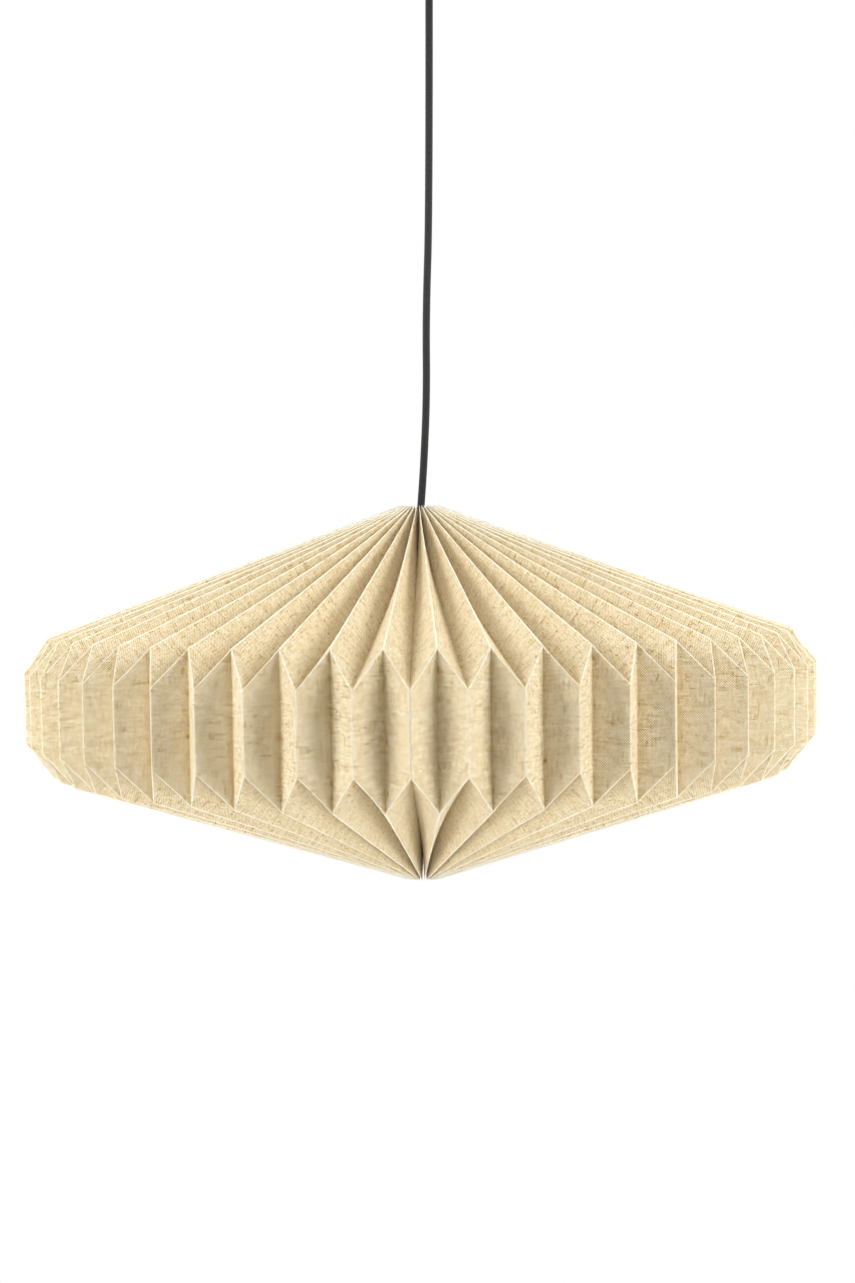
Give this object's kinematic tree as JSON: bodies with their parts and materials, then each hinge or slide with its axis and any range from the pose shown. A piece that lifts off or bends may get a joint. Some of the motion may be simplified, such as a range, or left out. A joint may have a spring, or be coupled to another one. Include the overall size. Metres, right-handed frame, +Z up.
{
  "type": "pendant lamp",
  "caption": "Pendant lamp: a folded linen lantern shade on a textile cord, hung from a ceiling hook inside a canopy that slides on the cord.",
  "frame": {"origin": "middle of the upper face of the ceiling strap, where it meets the ceiling", "axes": "+Z up, +X to the viewer's right, +Y away from the viewer"},
  "size_m": [0.6006, 0.6006, 0.7522],
  "materials": {
    "shade_linen": "natural linen bonded to a stiff backing, matt",
    "lacing_thread": "waxed linen thread",
    "cord_textile": "black braided textile",
    "canopy_black": "black, fine satin",
    "zinc_steel": "bright zinc",
    "hanger_white": "white moulded nylon",
    "wire_sleeve": "blue insulation",
    "terminal_clear": "milky moulded plastic",
    "contact_brass": "plain brass",
    "holder_black": "black thermoset",
    "insert_ceramic": "white ceramic",
    "carrier_white": "white powder coat",
    "bulb_opal": "opal glass",
    "bulb_collar_white": "white",
    "bulb_cap_metal": "plain",
    "bulb_black": "black glass-like insulator"
  },
  "bodies": {
    "ceiling_fitting": {"ceiling_strap": "zinc_steel", "ceiling_hook": "zinc_steel", "hook_nut": "zinc_steel"},
    "ring": {"hanging_ring": "zinc_steel"},
    "canopy": {"canopy_cup": "canopy_black"},
    "set_screw": {"canopy_set_screw": "zinc_steel"},
    "ring_nut": {"shade_ring": "holder_black"},
    "bulb": {"bulb_globe": "bulb_opal", "bulb_collar": "bulb_collar_white", "bulb_cap": "bulb_cap_metal", "bulb_insulator": "bulb_black", "bulb_contact": "contact_brass"},
    "pendant": {"cord_hanger": "hanger_white", "clamp_bar": "hanger_white", "clamp_screws": "zinc_steel", "supply_conductors": "wire_sleeve", "terminal_block": "terminal_clear", "terminal_tubes": "contact_brass", "terminal_screws": "zinc_steel", "pendant_cord": "cord_textile", "cord_grip": "holder_black", "cord_grip_screw": "zinc_steel", "holder_cap": "holder_black", "holder_body": "holder_black", "holder_insert": "insert_ceramic", "screw_shell": "contact_brass", "centre_contact": "contact_brass", "insert_screws": "zinc_steel", "holder_conductors": "wire_sleeve", "shade_carrier": "carrier_white", "shade_front_right": "shade_linen", "shade_back_right": "shade_linen", "shade_back_left": "shade_linen", "shade_front_left": "shade_linen", "top_lacing": "lacing_thread", "bottom_lacing": "lacing_thread"}
  },
  "joints": [
    {"name": "hook_swing", "type": "hinge", "parent": "ceiling_fitting", "child": "ring", "pos_m": [0, 0, -0.01842], "axis": [1, 0, 0], "range_deg": [-3, 3]},
    {"name": "pendant_swing", "type": "hinge", "parent": "ring", "child": "pendant", "pos_m": [0, 0, -0.02577], "axis": [0, 1, 0], "range_deg": [-3, 3]},
    {"name": "canopy_slide", "type": "slide", "parent": "pendant", "child": "canopy", "axis": [0, 0, -1], "range_m": [0, 0.045]},
    {"name": "set_screw_turn", "type": "hinge", "parent": "canopy", "child": "set_screw", "pos_m": [0, 0, -0.058], "axis": [0, -1, 0], "range_deg": [0, 720]},
    {"name": "ring_nut_turn", "type": "hinge", "parent": "pendant", "child": "ring_nut", "pos_m": [-0.014, 0, -0.54], "axis": [0, 0, 1], "range_deg": [0, 1080]},
    {"name": "bulb_unscrew", "type": "slide", "parent": "pendant", "child": "bulb", "axis": [0, 0, -1], "range_m": [0, 0.03]}
  ]
}
